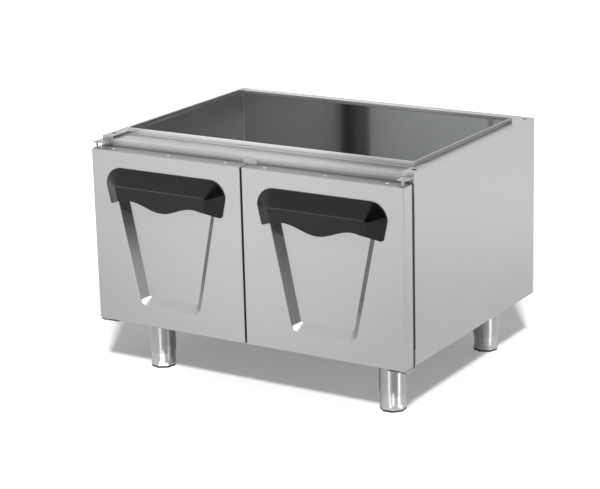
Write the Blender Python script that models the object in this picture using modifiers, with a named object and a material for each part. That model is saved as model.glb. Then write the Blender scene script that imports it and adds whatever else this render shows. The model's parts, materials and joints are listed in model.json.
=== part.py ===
"""Equipment stand cabinet: an open-topped stainless stand with two doors, on four adjustable legs."""

import math

import bmesh
import bpy
from mathutils import Matrix, Vector

# Body
BODY_WIDTH = 0.800
BODY_DEPTH = 0.578
BODY_HEIGHT = 0.420
LEG_HEIGHT = 0.134
SHEET = 0.0012
BEND_INSIDE = 0.0008
FIT = 0.0003

# Side panels: returns on all four edges, the top one cut back between two corner tabs
RETURN_WIDTH = 0.030
STRIP_WIDTH = 0.0115
TAB_LENGTH = 0.063
TAB_SLOPE = 0.033
TAB_HOLE_DIAMETER = 0.012
TAB_HOLE_FROM_SIDE = 0.0145
TAB_HOLE_FROM_FRONT = 0.027
TAB_HOLE_FROM_BACK = 0.024

# Raised rim round the open top, carried by four rails
RIM_HEIGHT = 0.0085
RIM_FROM_FRONT = 0.058
RIM_FROM_BACK = 0.059
HEM_GAP = 0.0005
HEM_CLEAR = 0.0008
FRONT_RAIL_DROP = 0.006
FRONT_RAIL_FACE = 0.040
FRONT_RAIL_LIP = 0.020
REAR_RAIL_FACE = 0.040

# Floor tray and the posts behind the front returns
FLOOR_RISE = 0.030
POST_DEPTH = 0.066

# Doors
DOOR_GAP = 0.0063
DOOR_THICKNESS = 0.0362
DOOR_FROM_SIDE = 0.0008
DOOR_MEETING_GAP = 0.0042
DOOR_TOP_DROP = 0.0216
DOOR_BOTTOM_DROP = 0.0015
SKIN = 0.0010
DOOR_BEND = 0.0022
PAN_RETURN = 0.018

# Hood handle, its heights measured down from its own top edge
HANDLE_TOP_DROP = 0.0371
HANDLE_REACH = 0.0235
HANDLE_WIDTH = 0.3175
HANDLE_TOP_WIDTH = 0.238
HANDLE_FOOT_WIDTH = 0.298
HANDLE_WIDEST_DROP = 0.0397
HANDLE_FOOT_DROP = 0.0842
HANDLE_WALL = 0.003
HANDLE_SKIRT = 0.002
RIDGE_LENGTH = 0.240
RIDGE_DROP = 0.0377
RIDGE_CORNER = 0.005
RIDGE_ROUND = 0.0025
CREASE_WIDTH = 0.231
CREASE_DROP = 0.0717
LIP_REACH = 0.0190
LIP_LOW_DROP = 0.0867
LIP_HIGH_DROP = 0.0672
LIP_HIGH_FROM_CENTRE = 0.085
BOSS_DIAMETER = 0.010
BOSS_SPACING = 0.170
BOSS_DROP = 0.014
BOSS_HEIGHT = 0.0065

# Pressed recess behind the handle; the handle stands on the land round it
HANDLE_LAND = 0.018
RECESS_TOP_DROP = 0.024
RECESS_BOTTOM_RISE = 0.047
RECESS_BOTTOM_WIDTH = 0.1585
RECESS_CORNER = 0.024
RECESS_DEPTH = 0.017
RECESS_RUN = 0.0175
RECESS_ROUND = 0.004

# Pivot hinges
PIN_DIAMETER = 0.006
PIN_FROM_SIDE = 0.009
PIN_FROM_DOOR_FRONT = 0.0105
PIN_HEAD_DIAMETER = 0.0095
PIN_HEAD = 0.0013
BRACKET_SHEET = 0.0020
BRACKET_LEG = 0.036
BRACKET_PAST_PIN = 0.0045
BRACKET_FROM_SIDE = 0.0005
UPPER_BRACKET_DROP = 0.0075
UPPER_BRACKET_WIDTH = 0.0205
LOWER_BRACKET_WIDTH = 0.047
LOWER_BRACKET_GAP = 0.003
SHOULDER_DIAMETER = 0.0105
BUSH_DIAMETER = 0.0098
BUSH_FLANGE_DIAMETER = 0.0125
BUSH_FLANGE = 0.0010
BUSH_LENGTH = 0.014

# Magnetic catch at the middle of the front rail
CATCH_WIDTH = 0.034
CATCH_TOP_DROP = 0.013
CATCH_HEIGHT = 0.022
CATCH_ROUND = 0.0012
MAGNET_WIDTH = 0.013
MAGNET_HEIGHT = 0.0095
MAGNET_DEPTH = 0.003
MAGNET_FROM_CENTRE = 0.0093
MAGNET_RISE = 0.0015
STRIKE_SHEET = 0.0010
STRIKE_MARGIN = 0.0015

# Legs: a fixed sleeve, a threaded nut inside it and a foot that screws in and out
LEG_FROM_SIDE = 0.0935
LEG_FROM_FRONT = 0.068
LEG_FROM_BACK = 0.062
LEG_PLATE_WIDTH = 0.100
LEG_PLATE_THICKNESS = 0.003
LEG_PLATE_CORNER = 0.010
SLEEVE_DIAMETER = 0.061
SLEEVE_MOUTH_DIAMETER = 0.0595
SLEEVE_TAPER = 0.010
SLEEVE_FLOOR_GAP = 0.0365
SLEEVE_CAP = 0.004
FOOT_RUNNING_GAP = 0.0005
INSERT_DIAMETER = 0.0565
INSERT_TOP = 0.062
INSERT_WALL = 0.0035
FOOT_CORNERS = 0.060
FOOT_SIDES = 8
FOOT_FLATS_TOP = 0.012
FOOT_BLEND_TOP = 0.020
FOOT_BASE = 0.010
PAD_THICKNESS = 0.004
PAD_INSET = 0.0008
NUT_HEIGHT = 0.012
NUT_FROM_FLOOR = 0.082
STUD_DIAMETER = 0.012
STUD_LENGTH = 0.096
FOOT_TURNS = {"front_left": 11.0, "front_right": 26.0, "rear_left": 34.0, "rear_right": 0.0}

# Fineness of curved shapes
TURN_STEPS = 32
SMALL_TURN_STEPS = 20
CORNER_STEPS = 6
BEND_STEPS = 2
LIP_STEPS = 28
SMOOTH_ANGLE = math.radians(35)
FOLD_ANGLE = math.radians(80)

# Positions that follow from the sizes; the handle ridge and the back are the two ends of the depth
OVERALL_DEPTH = BODY_DEPTH + DOOR_GAP + DOOR_THICKNESS + HANDLE_REACH
BACK = OVERALL_DEPTH / 2
FRONT = BACK - BODY_DEPTH
HALF = BODY_WIDTH / 2
BASE = LEG_HEIGHT
TOP = BASE + BODY_HEIGHT
BEND = BEND_INSIDE + SHEET
NEST = BEND + FIT
DOOR_BACK = FRONT - DOOR_GAP
DOOR_FRONT = DOOR_BACK - DOOR_THICKNESS
DOOR_TOP = TOP - DOOR_TOP_DROP
DOOR_BOTTOM = BASE - DOOR_BOTTOM_DROP
HANDLE_TOP = DOOR_TOP - HANDLE_TOP_DROP
PIN_X = HALF - PIN_FROM_SIDE
PIN_Y = DOOR_FRONT + PIN_FROM_DOOR_FRONT
FLOOR_TOP = BASE + FLOOR_RISE
UNDER_FLOOR = FLOOR_TOP - SHEET - FIT
PIN_SINK = BUSH_LENGTH - FIT

UP = Vector((0, 0, 1))
FORWARD = Vector((0, -1, 0))
BACKWARD = Vector((0, 1, 0))
ACROSS = Vector((1, 0, 0))


def clear_scene():
    for obj in list(bpy.data.objects):
        bpy.data.objects.remove(obj, do_unlink=True)


def new_collection(name):
    made = bpy.data.collections.new(name)
    bpy.context.scene.collection.children.link(made)
    return made


def new_finish(name, rgb, roughness, metallic):
    made = bpy.data.materials.new(name)
    made.use_nodes = True
    shader = made.node_tree.nodes["Principled BSDF"]
    shader.inputs["Base Color"].default_value = (*rgb, 1.0)
    shader.inputs["Roughness"].default_value = roughness
    shader.inputs["Metallic"].default_value = metallic
    return made


def to_mesh(name, bm):
    mesh = bpy.data.meshes.new(name)
    bm.to_mesh(mesh)
    bm.free()
    mesh.shade_smooth()
    mesh.set_sharp_from_angle(angle=SMOOTH_ANGLE)
    return mesh


def add_piece(name, bm, finish, holder=None):
    """A named piece from a shape drawn in the part's frame; a holder is the empty on its joint axis."""
    if holder:
        pivot = Vector(holder.location)
    else:
        corners = [v.co for v in bm.verts]
        pivot = Vector([(min(c[i] for c in corners) + max(c[i] for c in corners)) / 2 for i in range(3)])
    bmesh.ops.translate(bm, verts=bm.verts, vec=-pivot)
    obj = bpy.data.objects.new(name, to_mesh(name, bm))
    obj.data.materials.append(FINISH[finish])
    PARTS.objects.link(obj)
    if holder:
        obj.parent = holder
    else:
        obj.location = pivot
    return obj


def add_holder(name, location):
    holder = bpy.data.objects.new(name, None)
    holder.location = location
    PARTS.objects.link(holder)
    return holder


def thicken(obj, thickness):
    """Gives an open surface its sheet thickness on the side away from its normals."""
    sheet = obj.modifiers.new("sheet", "SOLIDIFY")
    sheet.thickness = thickness
    sheet.offset = -1
    sheet.use_even_offset = True


def join_or_cut(obj, bm, operation):
    """Joins a shape to a piece or cuts it out, keeping the shape as a hidden guide."""
    guide = bpy.data.objects.new(f"{obj.name}_{operation.lower()}", to_mesh(obj.name, bm))
    guide.hide_render = True
    guide.display_type = "WIRE"
    GUIDES.objects.link(guide)
    change = obj.modifiers.new(operation.lower(), "BOOLEAN")
    change.operation = operation
    change.solver = "EXACT"
    change.object = guide


def cut(obj, bm):
    join_or_cut(obj, bm, "DIFFERENCE")


def box(a, b):
    bm = bmesh.new()
    a, b = Vector(a), Vector(b)
    size = [abs(b[i] - a[i]) for i in range(3)]
    place = Matrix.Translation((a + b) / 2) @ Matrix.Diagonal((*size, 1.0))
    bmesh.ops.create_cube(bm, size=1, matrix=place)
    return bm


def rod(centre_a, centre_b, radius, steps):
    """A round bar between two points on a line along one axis."""
    bm = bmesh.new()
    a, b = Vector(centre_a), Vector(centre_b)
    turn = (b - a).to_track_quat("Z", "Y").to_matrix().to_4x4()
    bmesh.ops.create_cone(bm, cap_ends=True, segments=steps, radius1=radius, radius2=radius,
                          depth=(b - a).length, matrix=Matrix.Translation((a + b) / 2) @ turn)
    return bm


def draw_out(bm, swept, offset):
    """Moves what an extrusion has just added."""
    fresh = [g for g in swept["geom"] if isinstance(g, bmesh.types.BMVert)]
    bmesh.ops.translate(bm, verts=fresh, vec=offset)


def soften(bm, edges, radius):
    bmesh.ops.bevel(bm, geom=edges, offset=radius, segments=BEND_STEPS, profile=0.5, affect="EDGES")


def prism(outline, offset):
    """A flat outline carried along an offset."""
    bm = bmesh.new()
    face = bm.faces.new([bm.verts.new(point) for point in outline])
    draw_out(bm, bmesh.ops.extrude_face_region(bm, geom=[face]), offset)
    bmesh.ops.recalc_face_normals(bm, faces=bm.faces)
    return bm


def bend(bm, radius):
    """Rounds the folded edges that have room for the bend on both sides."""
    folds = [e for e in bm.edges if e.is_manifold and e.calc_face_angle() > SMOOTH_ANGLE]
    roomy = {f for f in bm.faces if min(e.calc_length() for e in f.edges) > 2 * radius}
    soften(bm, [e for e in folds if roomy.issuperset(e.link_faces)], radius)


def open_tray(a, b, open_sides, radius):
    """A box folded from sheet, left open on the sides whose outward directions are given."""
    bm = box(a, b)
    bm.normal_update()
    gone = [f for f in bm.faces if any(f.normal.dot(side) > 0.9 for side in open_sides)]
    bmesh.ops.delete(bm, geom=gone, context="FACES")
    bend(bm, radius)
    return bm


def folded_strip(path, inward, start, run, radius, outer):
    """Sheet folded to a path of (inward, height) points and swept along a run; outer is a side it shows."""
    bm = bmesh.new()
    corners = [bm.verts.new(start + inward * u + UP * z) for u, z in path]
    edges = [bm.edges.new(pair) for pair in zip(corners, corners[1:])]
    draw_out(bm, bmesh.ops.extrude_edge_only(bm, edges=edges), run)
    bm.normal_update()
    widest = max(bm.faces, key=lambda f: abs(f.normal.dot(outer)) * f.calc_area())
    if widest.normal.dot(outer) < 0:
        bmesh.ops.reverse_faces(bm, faces=bm.faces)
    bend(bm, radius)
    return bm


def turned(name, profile, centre, steps, finish, holder=None, closed=False):
    """A round piece: (radius, height) points that run down its outer side, turned about an upright axis."""
    bm = bmesh.new()
    points = [bm.verts.new((radius, 0, height)) for radius, height in profile]
    for pair in zip(points, points[1:]):
        bm.edges.new(pair)
    if closed:
        bm.edges.new((points[-1], points[0]))
    obj = bpy.data.objects.new(name, to_mesh(name, bm))
    obj.data.materials.append(FINISH[finish])
    PARTS.objects.link(obj)
    obj.location = centre
    if holder:
        obj.parent = holder
        obj.location = Vector(centre) - holder.location
    screw = obj.modifiers.new("turn", "SCREW")
    screw.steps = steps
    screw.render_steps = steps
    screw.use_merge_vertices = True
    screw.merge_threshold = 0.00001
    screw.use_smooth_shade = True
    return obj


def loft(rings):
    """Skins a stack of closed rings that have the same number of points, and closes both ends."""
    bm = bmesh.new()
    loops = [[bm.verts.new(point) for point in ring] for ring in rings]
    for lower, upper in zip(loops, loops[1:]):
        for i in range(len(lower)):
            bm.faces.new((lower[i - 1], lower[i], upper[i], upper[i - 1]))
    bm.faces.new(loops[0])
    bm.faces.new(loops[-1])
    bmesh.ops.recalc_face_normals(bm, faces=bm.faces)
    return bm


# Side panels

def side_panel(side, word):
    outer = side * HALF
    tray = open_tray((outer, FRONT, BASE), (outer - side * RETURN_WIDTH, BACK, TOP), [-side * ACROSS], BEND)
    panel = add_piece(f"side_panel_{word}", tray, "steel")
    thicken(panel, SHEET)

    inner = outer - side * (RETURN_WIDTH + SHEET)
    strip = outer - side * STRIP_WIDTH
    lean = TAB_SLOPE * SHEET / (RETURN_WIDTH - STRIP_WIDTH)
    low = TOP - 2 * BEND
    notch = [(strip, FRONT + TAB_LENGTH + TAB_SLOPE, low), (strip, BACK - TAB_LENGTH - TAB_SLOPE, low),
             (inner, BACK - TAB_LENGTH + lean, low), (inner, FRONT + TAB_LENGTH - lean, low)]
    cut(panel, prism(notch, UP * 3 * BEND))

    hole_x = outer - side * TAB_HOLE_FROM_SIDE
    for hole_y in (FRONT + TAB_HOLE_FROM_FRONT, BACK - TAB_HOLE_FROM_BACK):
        foot, head = (hole_x, hole_y, low), (hole_x, hole_y, TOP + BEND)
        cut(panel, rod(foot, head, TAB_HOLE_DIAMETER / 2, SMALL_TURN_STEPS))


# Rails and rim

def rim_path(start, at, foot_height):
    """Adds the raised rim, hemmed outwards, to a rail section that reaches it at a given distance inwards."""
    crest = TOP + RIM_HEIGHT - SHEET
    return start + [(at, foot_height), (at, crest), (at - HEM_GAP, crest), (at - HEM_GAP, TOP + HEM_CLEAR)]


def front_rail():
    length = BODY_WIDTH - 2 * RETURN_WIDTH - 2 * FIT
    level = TOP - FRONT_RAIL_DROP
    foot = level - FRONT_RAIL_FACE
    path = rim_path([(FRONT_RAIL_LIP, foot), (0, foot), (0, level)], RIM_FROM_FRONT, level)
    start = Vector((-length / 2, FRONT, 0))
    strip = folded_strip(path, BACKWARD, start, ACROSS * length, BEND, UP)
    thicken(add_piece("top_rail_front", strip, "steel"), SHEET)


def rear_rail():
    length = BODY_WIDTH - 2 * RETURN_WIDTH - 2 * FIT
    path = rim_path([(0, TOP - REAR_RAIL_FACE), (0, TOP)], RIM_FROM_BACK, TOP)
    start = Vector((-length / 2, BACK, 0))
    strip = folded_strip(path, FORWARD, start, ACROSS * length, BEND, UP)
    thicken(add_piece("top_rail_rear", strip, "steel"), SHEET)


def side_rail(side, word):
    near = FRONT + RIM_FROM_FRONT + SHEET + FIT
    far = BACK - RIM_FROM_BACK - SHEET - FIT
    level = TOP - SHEET - FIT
    path = rim_path([(NEST, level)], RETURN_WIDTH + BEND_INSIDE, level)
    start = Vector((side * HALF, near, 0))
    strip = folded_strip(path, -side * ACROSS, start, BACKWARD * (far - near), BEND_INSIDE, UP)
    thicken(add_piece(f"top_rail_{word}", strip, "steel"), SHEET)


# Floor, back and posts

def back_panel():
    edge = HALF - NEST
    outside = BACK - SHEET - FIT
    sheet = box((-edge, outside - SHEET, BASE + NEST), (edge, outside, TOP - NEST))
    add_piece("back_panel", sheet, "polished")


def floor_tray():
    edge = HALF - SHEET - FIT
    near = FRONT + SHEET + FIT
    far = BACK - 2 * (SHEET + FIT)
    tray = open_tray((-edge, near, BASE + NEST), (edge, far, FLOOR_TOP), [-UP], BEND)
    thicken(add_piece("floor_tray", tray, "steel"), SHEET)


def front_post(side, word):
    inner = side * (HALF - RETURN_WIDTH)
    outer = side * (HALF - NEST)
    head = TOP - 2 * (SHEET + FIT)
    post = open_tray((inner, FRONT + SHEET + FIT, FLOOR_TOP + FIT), (outer, FRONT + POST_DEPTH, head),
                     [side * ACROSS, UP, -UP], BEND)
    thicken(add_piece(f"front_post_{word}", post, "steel"), SHEET)


# Hinge brackets and pins

def pin_bore(side, low, high):
    centre = (side * PIN_X, PIN_Y)
    return rod((*centre, low), (*centre, high), PIN_DIAMETER / 2 + FIT, SMALL_TURN_STEPS)


def hinge_bracket(side, word, level, leg, width, outer, name):
    """An angle on the body front: a leg behind the door and a plate that carries the pin over or under it."""
    reach = FRONT - PIN_Y + BRACKET_PAST_PIN
    path = [(FIT, level + leg), (FIT, level), (reach, level)]
    start = Vector((side * (HALF - BRACKET_FROM_SIDE), FRONT, 0))
    strip = folded_strip(path, FORWARD, start, -side * ACROSS * width, BRACKET_SHEET + BEND_INSIDE, outer)
    bracket = add_piece(f"hinge_bracket_{name}_{word}", strip, "steel")
    thicken(bracket, BRACKET_SHEET)
    cut(bracket, pin_bore(side, level - 2 * BRACKET_SHEET, level + 2 * BRACKET_SHEET))


def upper_hinge(side, word):
    level = TOP - UPPER_BRACKET_DROP
    hinge_bracket(side, word, level, -BRACKET_LEG, UPPER_BRACKET_WIDTH, UP, "upper")

    radius, head = PIN_DIAMETER / 2, PIN_HEAD_DIAMETER / 2
    seat = level + FIT
    end = DOOR_TOP - PIN_SINK
    crown = seat + PIN_HEAD
    profile = [(0, crown), (head, crown), (head, seat), (radius, seat), (radius, end), (0, end)]
    turned(f"hinge_pin_upper_{word}", profile, (side * PIN_X, PIN_Y, 0), SMALL_TURN_STEPS, "pin_steel")


def lower_hinge(side, word):
    level = DOOR_BOTTOM - LOWER_BRACKET_GAP - BRACKET_SHEET
    leg = BASE + BRACKET_LEG - level
    hinge_bracket(side, word, level, leg, LOWER_BRACKET_WIDTH, -UP, "lower")

    radius, head, shoulder = PIN_DIAMETER / 2, PIN_HEAD_DIAMETER / 2, SHOULDER_DIAMETER / 2
    tip = DOOR_BOTTOM + PIN_SINK
    bearing = DOOR_BOTTOM - FIT - BUSH_FLANGE - FIT
    plate = level + BRACKET_SHEET + FIT
    under = level - FIT
    crown = under - PIN_HEAD
    profile = [(0, tip), (radius, tip), (radius, bearing), (shoulder, bearing), (shoulder, plate),
               (radius, plate), (radius, under), (head, under), (head, crown), (0, crown)]
    turned(f"hinge_pin_lower_{word}", profile, (side * PIN_X, PIN_Y, 0), SMALL_TURN_STEPS, "pin_steel")


# Catch

def magnet_box(side, grow):
    near = DOOR_BACK + STRIKE_SHEET + 2 * FIT
    far = near + MAGNET_DEPTH
    centre = side * MAGNET_FROM_CENTRE
    low = TOP - CATCH_TOP_DROP - CATCH_HEIGHT + MAGNET_RISE
    high = low + MAGNET_HEIGHT
    half = MAGNET_WIDTH / 2 + grow
    return box((centre - half, near - grow, low - grow), (centre + half, far + grow, high + grow))


def catch():
    near = DOOR_BACK + STRIKE_SHEET + 2 * FIT
    top = TOP - CATCH_TOP_DROP
    body = box((-CATCH_WIDTH / 2, near, top - CATCH_HEIGHT), (CATCH_WIDTH / 2, FRONT - FIT, top))
    soften(body, list(body.edges), CATCH_ROUND)
    housing = add_piece("catch_body", body, "catch_plastic")
    for side, word in SIDES:
        cut(housing, magnet_box(side, FIT))
        add_piece(f"catch_magnet_{word}", magnet_box(side, 0), "magnet")


# Doors

def door_edges(side):
    """Meeting edge and hinge edge of a door."""
    return side * DOOR_MEETING_GAP / 2, side * (HALF - DOOR_FROM_SIDE)


def door_centre(side):
    return sum(door_edges(side)) / 2


def rounded_outline(corners, radius, steps):
    """Points round a convex outline of (x, z) corners, each corner turned on one radius."""
    points = []
    for i, corner in enumerate(corners):
        here = Vector(corner)
        before = (Vector(corners[i - 1]) - here).normalized()
        after = (Vector(corners[(i + 1) % len(corners)]) - here).normalized()
        half_angle = before.angle(after) / 2
        middle = (before + after).normalized()
        centre = here + middle * radius / math.sin(half_angle)
        start = here + before * radius / math.tan(half_angle) - centre
        end = here + after * radius / math.tan(half_angle) - centre
        sweep = start.angle_signed(end)
        for step in range(steps + 1):
            turn = Matrix.Rotation(-sweep * step / steps, 2)
            points.append(centre + turn @ start)
    return points


def recess_profile():
    """Steps of (run, depth) down the recess wall: a rounded lip, a straight wall and a rounded foot."""
    slope = math.atan2(RECESS_DEPTH, RECESS_RUN)
    trim = RECESS_ROUND * math.tan(slope / 2)
    section = [(-trim, 0)]
    for step in range(1, BEND_STEPS + 1):
        angle = slope * step / BEND_STEPS
        section.append((-trim + RECESS_ROUND * math.sin(angle), RECESS_ROUND * (1 - math.cos(angle))))
    for run, depth in reversed(section[:]):
        section.append((RECESS_RUN - run, RECESS_DEPTH - depth))
    return trim, [(b[0] - a[0], b[1] - a[1]) for a, b in zip(section, section[1:])]


def door_skin(side, word, holder):
    meeting, hinge = door_edges(side)
    centre = door_centre(side)
    bm = bmesh.new()

    def loop(points):
        made = [bm.verts.new((x, DOOR_FRONT, z)) for x, z in points]
        return made, [bm.edges.new((made[i - 1], made[i])) for i in range(len(made))]

    _, edge = loop([(meeting, DOOR_BOTTOM), (hinge, DOOR_BOTTOM), (hinge, DOOR_TOP), (meeting, DOOR_TOP)])

    trim, steps = recess_profile()
    top = HANDLE_TOP - RECESS_TOP_DROP + trim
    bottom = DOOR_BOTTOM + RECESS_BOTTOM_RISE - trim
    top_half = HANDLE_WIDTH / 2 - HANDLE_LAND + trim
    bottom_half = RECESS_BOTTOM_WIDTH / 2 + trim
    corners = [(centre - top_half, top), (centre + top_half, top),
               (centre + bottom_half, bottom), (centre - bottom_half, bottom)]
    ring, mouth = loop(rounded_outline(corners, RECESS_CORNER + trim, CORNER_STEPS))
    bmesh.ops.triangle_fill(bm, use_beauty=True, edges=edge + mouth, normal=FORWARD)

    floor = bm.faces.new(ring)
    floor.normal_update()
    if floor.normal.dot(FORWARD) < 0:
        floor.normal_flip()
    for run, depth in steps:
        bmesh.ops.inset_region(bm, faces=[floor], thickness=run, depth=-depth, use_even_offset=True)

    draw_out(bm, bmesh.ops.extrude_edge_only(bm, edges=edge), BACKWARD * DOOR_THICKNESS)
    bmesh.ops.recalc_face_normals(bm, faces=bm.faces)
    if floor.normal.dot(FORWARD) < 0:
        bmesh.ops.reverse_faces(bm, faces=bm.faces)
    soften(bm, [e for e in bm.edges if e.is_manifold and e.calc_face_angle() > FOLD_ANGLE], DOOR_BEND)

    skin = add_piece(f"door_skin_{word}", bm, "steel", holder)
    thicken(skin, SKIN)
    for level in (DOOR_TOP, DOOR_BOTTOM):
        middle = Vector((side * PIN_X, PIN_Y, level))
        past = UP * 3 * DOOR_BEND
        cut(skin, rod(middle - past, middle + past, BUSH_DIAMETER / 2 + FIT, SMALL_TURN_STEPS))


def door_pan(side, word, holder):
    meeting, hinge = door_edges(side)
    inset = SKIN + FIT
    a = (meeting + side * inset, DOOR_BACK - PAN_RETURN, DOOR_BOTTOM + inset)
    b = (hinge - side * inset, DOOR_BACK, DOOR_TOP - inset)
    thicken(add_piece(f"door_pan_{word}", open_tray(a, b, [FORWARD], DOOR_BEND), "steel", holder), SKIN)


def door_bushes(side, word, holder):
    barrel, bore, flange = BUSH_DIAMETER / 2, PIN_DIAMETER / 2 + FIT, BUSH_FLANGE_DIAMETER / 2
    seat = DOOR_TOP + FIT
    upper = [(flange, seat + BUSH_FLANGE), (flange, seat), (barrel, seat), (barrel, DOOR_TOP - BUSH_LENGTH),
             (bore, DOOR_TOP - BUSH_LENGTH), (bore, seat + BUSH_FLANGE)]
    seat = DOOR_BOTTOM - FIT
    crown = DOOR_BOTTOM + BUSH_LENGTH
    lower = [(barrel, crown), (barrel, seat), (flange, seat), (flange, seat - BUSH_FLANGE),
             (bore, seat - BUSH_FLANGE), (bore, crown)]
    axis = (side * PIN_X, PIN_Y, 0)
    for place, profile in (("upper", upper), ("lower", lower)):
        turned(f"door_bush_{place}_{word}", profile, axis, SMALL_TURN_STEPS, "nylon", holder, True)


def door_strike(side, word, holder):
    meeting, _ = door_edges(side)
    near = meeting + side * STRIKE_MARGIN
    far = side * (MAGNET_FROM_CENTRE + MAGNET_WIDTH / 2)
    low = TOP - CATCH_TOP_DROP - CATCH_HEIGHT + MAGNET_RISE
    seat = DOOR_BACK + FIT
    plate = box((near, seat, low), (far, seat + STRIKE_SHEET, DOOR_TOP - STRIKE_MARGIN))
    add_piece(f"door_strike_{word}", plate, "pin_steel", holder)


# Hood handle

def ease(share):
    return 0.5 - 0.5 * math.cos(math.pi * share)


def lip_height(x):
    """Height of the wavy lower lip at a distance from the middle of the handle."""
    low, high, end = (HANDLE_TOP - drop for drop in (LIP_LOW_DROP, LIP_HIGH_DROP, CREASE_DROP))
    past = abs(x) - LIP_HIGH_FROM_CENTRE
    if past < 0:
        return high + (low - high) * ease(-past / LIP_HIGH_FROM_CENTRE)
    return high + (end - high) * ease(past / (CREASE_WIDTH / 2 - LIP_HIGH_FROM_CENTRE))


def front_reach(z):
    """How far the front of the hood stands off the door at a height: most at the ridge, less at the lip."""
    low = HANDLE_TOP - LIP_LOW_DROP
    ridge = HANDLE_TOP - RIDGE_DROP
    return LIP_REACH + (HANDLE_REACH - LIP_REACH) * (z - low) / (ridge - low)


def hoop(foot, knee, shoulder):
    """An arch of (x, z) points, alike at both ends: foot, knee, rounded shoulder and straight across."""
    end = [foot, tuple((a + b) / 2 for a, b in zip(foot, knee))]
    out, rise = knee[0] - shoulder[0], shoulder[1] - knee[1]
    for step in range(CORNER_STEPS + 1):
        angle = math.pi / 2 * step / CORNER_STEPS
        end.append((shoulder[0] + out * math.cos(angle), knee[1] + rise * math.sin(angle)))
    return [(-x, z) for x, z in end] + [(x, z) for x, z in reversed(end)]


def door_handle(side, word, holder):
    centre = door_centre(side)
    seat = DOOR_FRONT - FIT
    bm = bmesh.new()

    def row(points, reach):
        made = [bm.verts.new((centre + x, seat - reach(z), z)) for x, z in points]
        return made, [bm.edges.new(pair) for pair in zip(made, made[1:])]

    widest = HANDLE_TOP - HANDLE_WIDEST_DROP
    base = hoop((HANDLE_FOOT_WIDTH / 2, HANDLE_TOP - HANDLE_FOOT_DROP), (HANDLE_WIDTH / 2, widest),
                (HANDLE_TOP_WIDTH / 2, HANDLE_TOP))
    ridge = HANDLE_TOP - RIDGE_DROP
    crest = hoop((CREASE_WIDTH / 2, HANDLE_TOP - CREASE_DROP), (RIDGE_LENGTH / 2, ridge - RIDGE_CORNER),
                 (RIDGE_LENGTH / 2 - RIDGE_CORNER, ridge))
    _, base_edges = row(base, lambda z: 0)
    _, skirt_edges = row(base, lambda z: HANDLE_SKIRT)
    crest_row, crest_edges = row(crest, front_reach)
    for lower, upper in ((base_edges, skirt_edges), (skirt_edges, crest_edges)):
        bmesh.ops.bridge_loops(bm, edges=lower + upper)

    across = [CREASE_WIDTH / 2 - CREASE_WIDTH * step / LIP_STEPS for step in range(1, LIP_STEPS)]
    lip_row, _ = row([(x, lip_height(x)) for x in across], front_reach)
    bm.faces.new(crest_row + lip_row)
    bmesh.ops.recalc_face_normals(bm, faces=bm.faces)
    bm.normal_update()
    if max(bm.faces, key=lambda f: f.calc_area()).normal.dot(FORWARD) < 0:
        bmesh.ops.reverse_faces(bm, faces=bm.faces)
    crest_edges = [e for e in bm.edges if e.is_manifold and all(v in crest_row for v in e.verts)]
    soften(bm, crest_edges, RIDGE_ROUND)

    # Rounding the ridge lowers it a little, so the hood is drawn out again to its stated reach.
    stretch = (HANDLE_REACH - FIT) / max(seat - v.co.y for v in bm.verts)
    space = Matrix.Translation((0, -seat, 0))
    bmesh.ops.scale(bm, vec=(1, stretch, 1), space=space, verts=bm.verts)
    handle = add_piece(f"door_handle_{word}", bm, "handle_plastic", holder)
    thicken(handle, HANDLE_WALL)
    for hand in (-1, 1):
        foot = Vector((centre + hand * BOSS_SPACING / 2, seat, HANDLE_TOP - BOSS_DROP))
        boss = rod(foot, foot + FORWARD * BOSS_HEIGHT, BOSS_DIAMETER / 2, SMALL_TURN_STEPS)
        join_or_cut(handle, boss, "UNION")


def door(side, word):
    holder = add_holder(f"hinge_axis_{word}", (side * PIN_X, PIN_Y, DOOR_BOTTOM))
    door_skin(side, word, holder)
    door_pan(side, word, holder)
    door_handle(side, word, holder)
    door_bushes(side, word, holder)
    door_strike(side, word, holder)


# Legs

def ring_at(height, centre, blend, radius):
    """A ring of a foot: round at blend 0, a regular polygon with that radius to its corners at blend 1."""
    points = []
    sector = 2 * math.pi / FOOT_SIDES
    for step in range(TURN_STEPS):
        angle = 2 * math.pi * step / TURN_STEPS
        off_flat = (angle % sector) - sector / 2
        flat = FOOT_CORNERS / 2 * math.cos(sector / 2) / math.cos(off_flat)
        reach = (1 - blend) * radius + blend * flat
        points.append(centre + Vector((reach * math.cos(angle), reach * math.sin(angle), height)))
    return points


def foot(word, centre, holder):
    radius = INSERT_DIAMETER / 2
    bore = radius - INSERT_WALL
    under = PAD_THICKNESS + FIT
    rings = [ring_at(under, centre, 1, radius), ring_at(FOOT_FLATS_TOP, centre, 1, radius),
             ring_at(FOOT_BLEND_TOP, centre, 0, radius), ring_at(INSERT_TOP, centre, 0, radius),
             ring_at(INSERT_TOP, centre, 0, bore), ring_at(under + FOOT_BASE, centre, 0, bore)]
    add_piece(f"foot_{word}", loft(rings), "foot_steel", holder)

    base = under + FOOT_BASE + FIT
    axis = Vector((centre.x, centre.y, 0))
    stud = rod(axis + UP * base, axis + UP * (base + STUD_LENGTH), STUD_DIAMETER / 2, SMALL_TURN_STEPS)
    add_piece(f"foot_stud_{word}", stud, "pin_steel", holder)

    pad = bmesh.new()
    pad_radius = FOOT_CORNERS / 2 - PAD_INSET
    bmesh.ops.create_cone(pad, cap_ends=True, segments=FOOT_SIDES, radius1=pad_radius, radius2=pad_radius,
                          depth=PAD_THICKNESS, matrix=Matrix.Translation(axis + UP * PAD_THICKNESS / 2))
    add_piece(f"foot_pad_{word}", pad, "pad_rubber", holder)


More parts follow.
